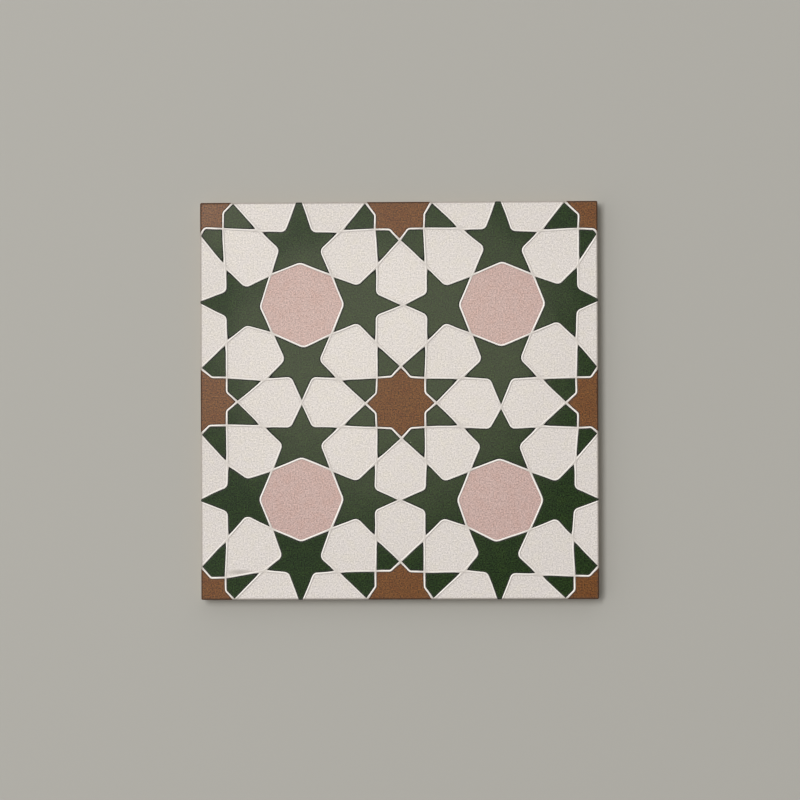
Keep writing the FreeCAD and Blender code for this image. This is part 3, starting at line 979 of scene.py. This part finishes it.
# The opening is as large as the tile's foot, so that the floor neither covers it nor leaves a gap
OPENING_MARGIN = BEVEL_WIDTH + BACK_EDGE_WEAR
floor_mesh = bpy.data.meshes.new("floor")
corner_signs = [(-1, -1), (1, -1), (1, 1), (-1, 1)]
floor_reach = FLOOR_SIDE / 2
opening_reach = (HALF - OPENING_MARGIN) * MM
floor_corners = [(sign_x * reach, sign_y * reach, 0)
                 for reach in (floor_reach, opening_reach) for sign_x, sign_y in corner_signs]
floor_mesh.from_pydata(floor_corners, [], [(0, 1, 5, 4), (1, 2, 6, 5), (2, 3, 7, 6), (3, 0, 4, 7)])
floor = bpy.data.objects.new("floor", floor_mesh)
bpy.context.scene.collection.objects.link(floor)
floor_finish = bpy.data.materials.new("pale_matt_floor")
floor_finish.use_nodes = True
floor_shader = floor_finish.node_tree.nodes["Principled BSDF"]
floor_shader.inputs["Base Color"].default_value = linear("#aeaca6")
floor_shader.inputs["Roughness"].default_value = 0.9
floor_mesh.materials.append(floor_finish)
print("the floor is %.0f m square" % FLOOR_SIDE)

# %% The lamps
LAMPS = {
    # name: place in m, width and height in m, power in W, colour
    "soft_key": ((-1.50, 0.92, 3.50), (2.90, 0.80), 87.0, "#ffffff"),
    "short_oval": ((-0.026, 0.108, 1.60), (0.478, 0.310), 0.164, "#f2ebd0"),
    "middle_oval": ((-0.030, 0.068, 1.60), (0.450, 0.390), 0.194, "#f2ebd0"),
    "long_oval": ((-0.052, 0.020, 1.60), (0.378, 0.486), 0.204, "#f2ebd0"),
    "corner_oval": ((-0.250, 0.300, 1.60), (0.26, 0.16), 0.15, "#f2ebd0"),
}
for name, (place, (width, height), power, colour) in LAMPS.items():
    lamp_data = bpy.data.lights.new(name, "AREA")
    lamp_data.shape = "ELLIPSE"
    lamp_data.size = width
    lamp_data.size_y = height
    lamp_data.energy = power
    lamp_data.color = linear(colour)[:3]
    lamp = bpy.data.objects.new(name, lamp_data)
    lamp.location = place
    lamp.rotation_euler = (-Vector(place)).to_track_quat("-Z", "Y").to_euler()
    bpy.context.scene.collection.objects.link(lamp)
print("%d lamps" % len(LAMPS))

# %% The room
# The half of the room behind the key is lighter than the other one, and the change runs over the middle
ROOM_BRIGHT = 0.68
ROOM_DIM = 0.05
ROOM_TURN = 0.17
TO_KEY = (-0.71, 0.71, 0.0)
# Low on the walls the room is lighter all around: by how much, and between which two heights, where 1
# is straight up
WALL_LIGHT = 0.22
WALL_TOP = 0.9
WALL_FULL = 0.6
world = bpy.data.worlds.new("soft_room")
world.use_nodes = True
room = world.node_tree
room.nodes.clear()
way = add_node(room, "ShaderNodeTexCoord", "Generated", {})
toward = add_node(room, "ShaderNodeVectorMath", "Value", {"Vector": way, "Vector_001": TO_KEY},
                  operation="DOT_PRODUCT")
strength = add_node(room, "ShaderNodeMapRange", "Result",
                    {"Value": toward, "From Min": -ROOM_TURN, "From Max": ROOM_TURN,
                     "To Min": ROOM_DIM, "To Max": ROOM_BRIGHT})
height = add_node(room, "ShaderNodeSeparateXYZ", "Z", {"Vector": way})
walls = add_node(room, "ShaderNodeMapRange", "Result",
                 {"Value": height, "From Min": WALL_FULL, "From Max": WALL_TOP,
                  "To Min": WALL_LIGHT, "To Max": 0.0})
both = add_node(room, "ShaderNodeMath", "Value", {"Value": strength, "Value_001": walls}, operation="ADD")
glow = add_node(room, "ShaderNodeBackground", "Background",
                {"Color": linear("#fffefb"), "Strength": both})
add_node(room, "ShaderNodeOutputWorld", "none", {"Surface": glow})
bpy.context.scene.world = world
print("the room runs from %.2f to %.2f, its walls %.2f more" % (ROOM_DIM, ROOM_BRIGHT, WALL_LIGHT))

# %% The camera
# The photograph shows the tile 397.9 of 800 pixels wide, its middle at (399.15, 400.6)
FRAME_PIXELS = 800
TILE_PIXELS = 397.9
TILE_MIDDLE_PIXEL = (399.15, 400.6)
LENS = 85.0
SENSOR = 36.0
ROLL = math.radians(-0.22)
LEAN_TO_FRONT = math.radians(0.25)
LEAN_TO_RIGHT = math.radians(0.9)
millimetres_per_pixel = SIDE / TILE_PIXELS
distance = FRAME_PIXELS * millimetres_per_pixel * LENS / SENSOR
half_frame = FRAME_PIXELS / 2
target = Vector((
    (half_frame - TILE_MIDDLE_PIXEL[0]) * millimetres_per_pixel,
    (TILE_MIDDLE_PIXEL[1] - half_frame) * millimetres_per_pixel,
    THICKNESS,
))
turn = Euler((LEAN_TO_FRONT, LEAN_TO_RIGHT, ROLL))
camera_data = bpy.data.cameras.new("camera")
camera_data.lens = LENS
camera_data.sensor_width = SENSOR
camera = bpy.data.objects.new("camera", camera_data)
camera.rotation_euler = turn
camera.location = (target + turn.to_matrix() @ Vector((0, 0, distance))) * MM
bpy.context.scene.collection.objects.link(camera)
bpy.context.scene.camera = camera
bpy.context.scene.view_settings.view_transform = "Standard"
print("the camera is %.0f mm above the face" % distance)
